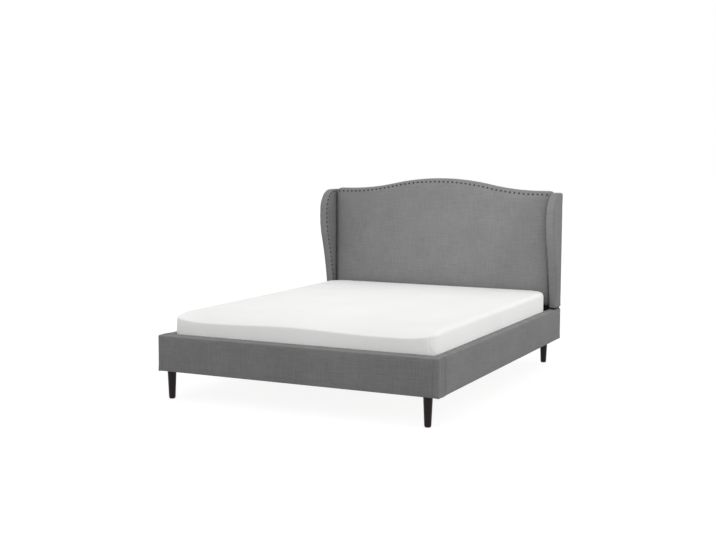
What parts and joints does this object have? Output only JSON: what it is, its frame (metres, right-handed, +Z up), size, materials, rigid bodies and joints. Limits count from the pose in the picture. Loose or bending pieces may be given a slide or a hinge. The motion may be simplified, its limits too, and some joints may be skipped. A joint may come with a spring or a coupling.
{
  "type": "upholstered bed",
  "caption": "Upholstered double bed with a camel-back, nail-studded headboard, side wings, padded rails, a slatted base, round tapered legs and a mattress in a white fitted sheet",
  "frame": {"origin": "on the floor, midway between the two side rails and midway between the foot rail's face and the headboard's back", "axes": "+X to the right seen from the foot, +Y from the foot to the headboard, +Z up"},
  "size_m": [1.72, 2.2, 1.2258],
  "materials": {
    "beam_hangers": "satin",
    "centre_beam": "satin",
    "centre_caps": "matte",
    "centre_legs": "satin",
    "corner_brackets": "satin",
    "fitted_sheet": "matte",
    "foot_rail_bottom_batten": "matte",
    "foot_rail_cover": "matte",
    "foot_rail_end_blocks": "matte",
    "foot_rail_front_board": "matte",
    "foot_rail_rear_board": "matte",
    "foot_rail_top_batten": "matte",
    "frame_bolts": "satin",
    "hanger_screws": "satin",
    "head_cross_rail": "matte",
    "headboard_back_cloth": "matte",
    "headboard_bottom_rail": "matte",
    "headboard_cover": "matte",
    "headboard_facing": "matte",
    "headboard_foam": "matte",
    "headboard_middle_rail": "matte",
    "headboard_nails": "satin",
    "headboard_post_left": "matte",
    "headboard_post_right": "matte",
    "headboard_top_rail": "matte",
    "ledge_screws": "satin",
    "leg_front_left": "satin",
    "leg_front_right": "satin",
    "leg_glides": "matte",
    "leg_inserts": "satin",
    "leg_rear_left": "satin",
    "leg_rear_right": "satin",
    "leg_studs": "satin",
    "levelling_feet": "matte",
    "long_screws": "satin",
    "mattress": "matte",
    "rear_corner_block_left": "matte",
    "rear_corner_block_right": "matte",
    "side_rail_beam_left": "matte",
    "side_rail_beam_right": "matte",
    "side_rail_cover_left": "matte",
    "side_rail_cover_right": "matte",
    "slat_caps_left": "matte",
    "slat_caps_right": "matte",
    "slat_ledge_left": "satin",
    "slat_ledge_right": "satin",
    "slats_left": "satin",
    "slats_right": "satin",
    "wing_core_left": "satin",
    "wing_core_right": "satin",
    "wing_cover_left": "matte",
    "wing_cover_right": "matte",
    "wing_nails_left": "satin",
    "wing_nails_right": "satin",
    "wing_padding_left": "matte",
    "wing_padding_right": "matte"
  },
  "bodies": {
    "frame": {"beam_hangers": "beam_hangers", "centre_beam": "centre_beam", "centre_caps": "centre_caps", "centre_legs": "centre_legs", "corner_brackets": "corner_brackets", "foot_rail_bottom_batten": "foot_rail_bottom_batten", "foot_rail_cover": "foot_rail_cover", "foot_rail_end_blocks": "foot_rail_end_blocks", "foot_rail_front_board": "foot_rail_front_board", "foot_rail_rear_board": "foot_rail_rear_board", "foot_rail_top_batten": "foot_rail_top_batten", "frame_bolts": "frame_bolts", "hanger_screws": "hanger_screws", "head_cross_rail": "head_cross_rail", "headboard_back_cloth": "headboard_back_cloth", "headboard_bottom_rail": "headboard_bottom_rail", "headboard_cover": "headboard_cover", "headboard_facing": "headboard_facing", "headboard_foam": "headboard_foam", "headboard_middle_rail": "headboard_middle_rail", "headboard_nails": "headboard_nails", "headboard_post_left": "headboard_post_left", "headboard_post_right": "headboard_post_right", "headboard_top_rail": "headboard_top_rail", "ledge_screws": "ledge_screws", "leg_front_left": "leg_front_left", "leg_front_right": "leg_front_right", "leg_glides": "leg_glides", "leg_inserts": "leg_inserts", "leg_rear_left": "leg_rear_left", "leg_rear_right": "leg_rear_right", "leg_studs": "leg_studs", "levelling_feet": "levelling_feet", "long_screws": "long_screws", "rear_corner_block_left": "rear_corner_block_left", "rear_corner_block_right": "rear_corner_block_right", "side_rail_beam_left": "side_rail_beam_left", "side_rail_beam_right": "side_rail_beam_right", "side_rail_cover_left": "side_rail_cover_left", "side_rail_cover_right": "side_rail_cover_right", "slat_caps_left": "slat_caps_left", "slat_caps_right": "slat_caps_right", "slat_ledge_left": "slat_ledge_left", "slat_ledge_right": "slat_ledge_right", "slats_left": "slats_left", "slats_right": "slats_right", "wing_core_left": "wing_core_left", "wing_core_right": "wing_core_right", "wing_cover_left": "wing_cover_left", "wing_cover_right": "wing_cover_right", "wing_nails_left": "wing_nails_left", "wing_nails_right": "wing_nails_right", "wing_padding_left": "wing_padding_left", "wing_padding_right": "wing_padding_right"},
    "mattress": {"mattress": "mattress", "fitted_sheet": "fitted_sheet"}
  },
  "joints": [
    {"name": "mattress_lift", "type": "slide", "parent": "frame", "child": "mattress", "axis": [0, 0, 1], "range_m": [0, 1]}
  ]
}
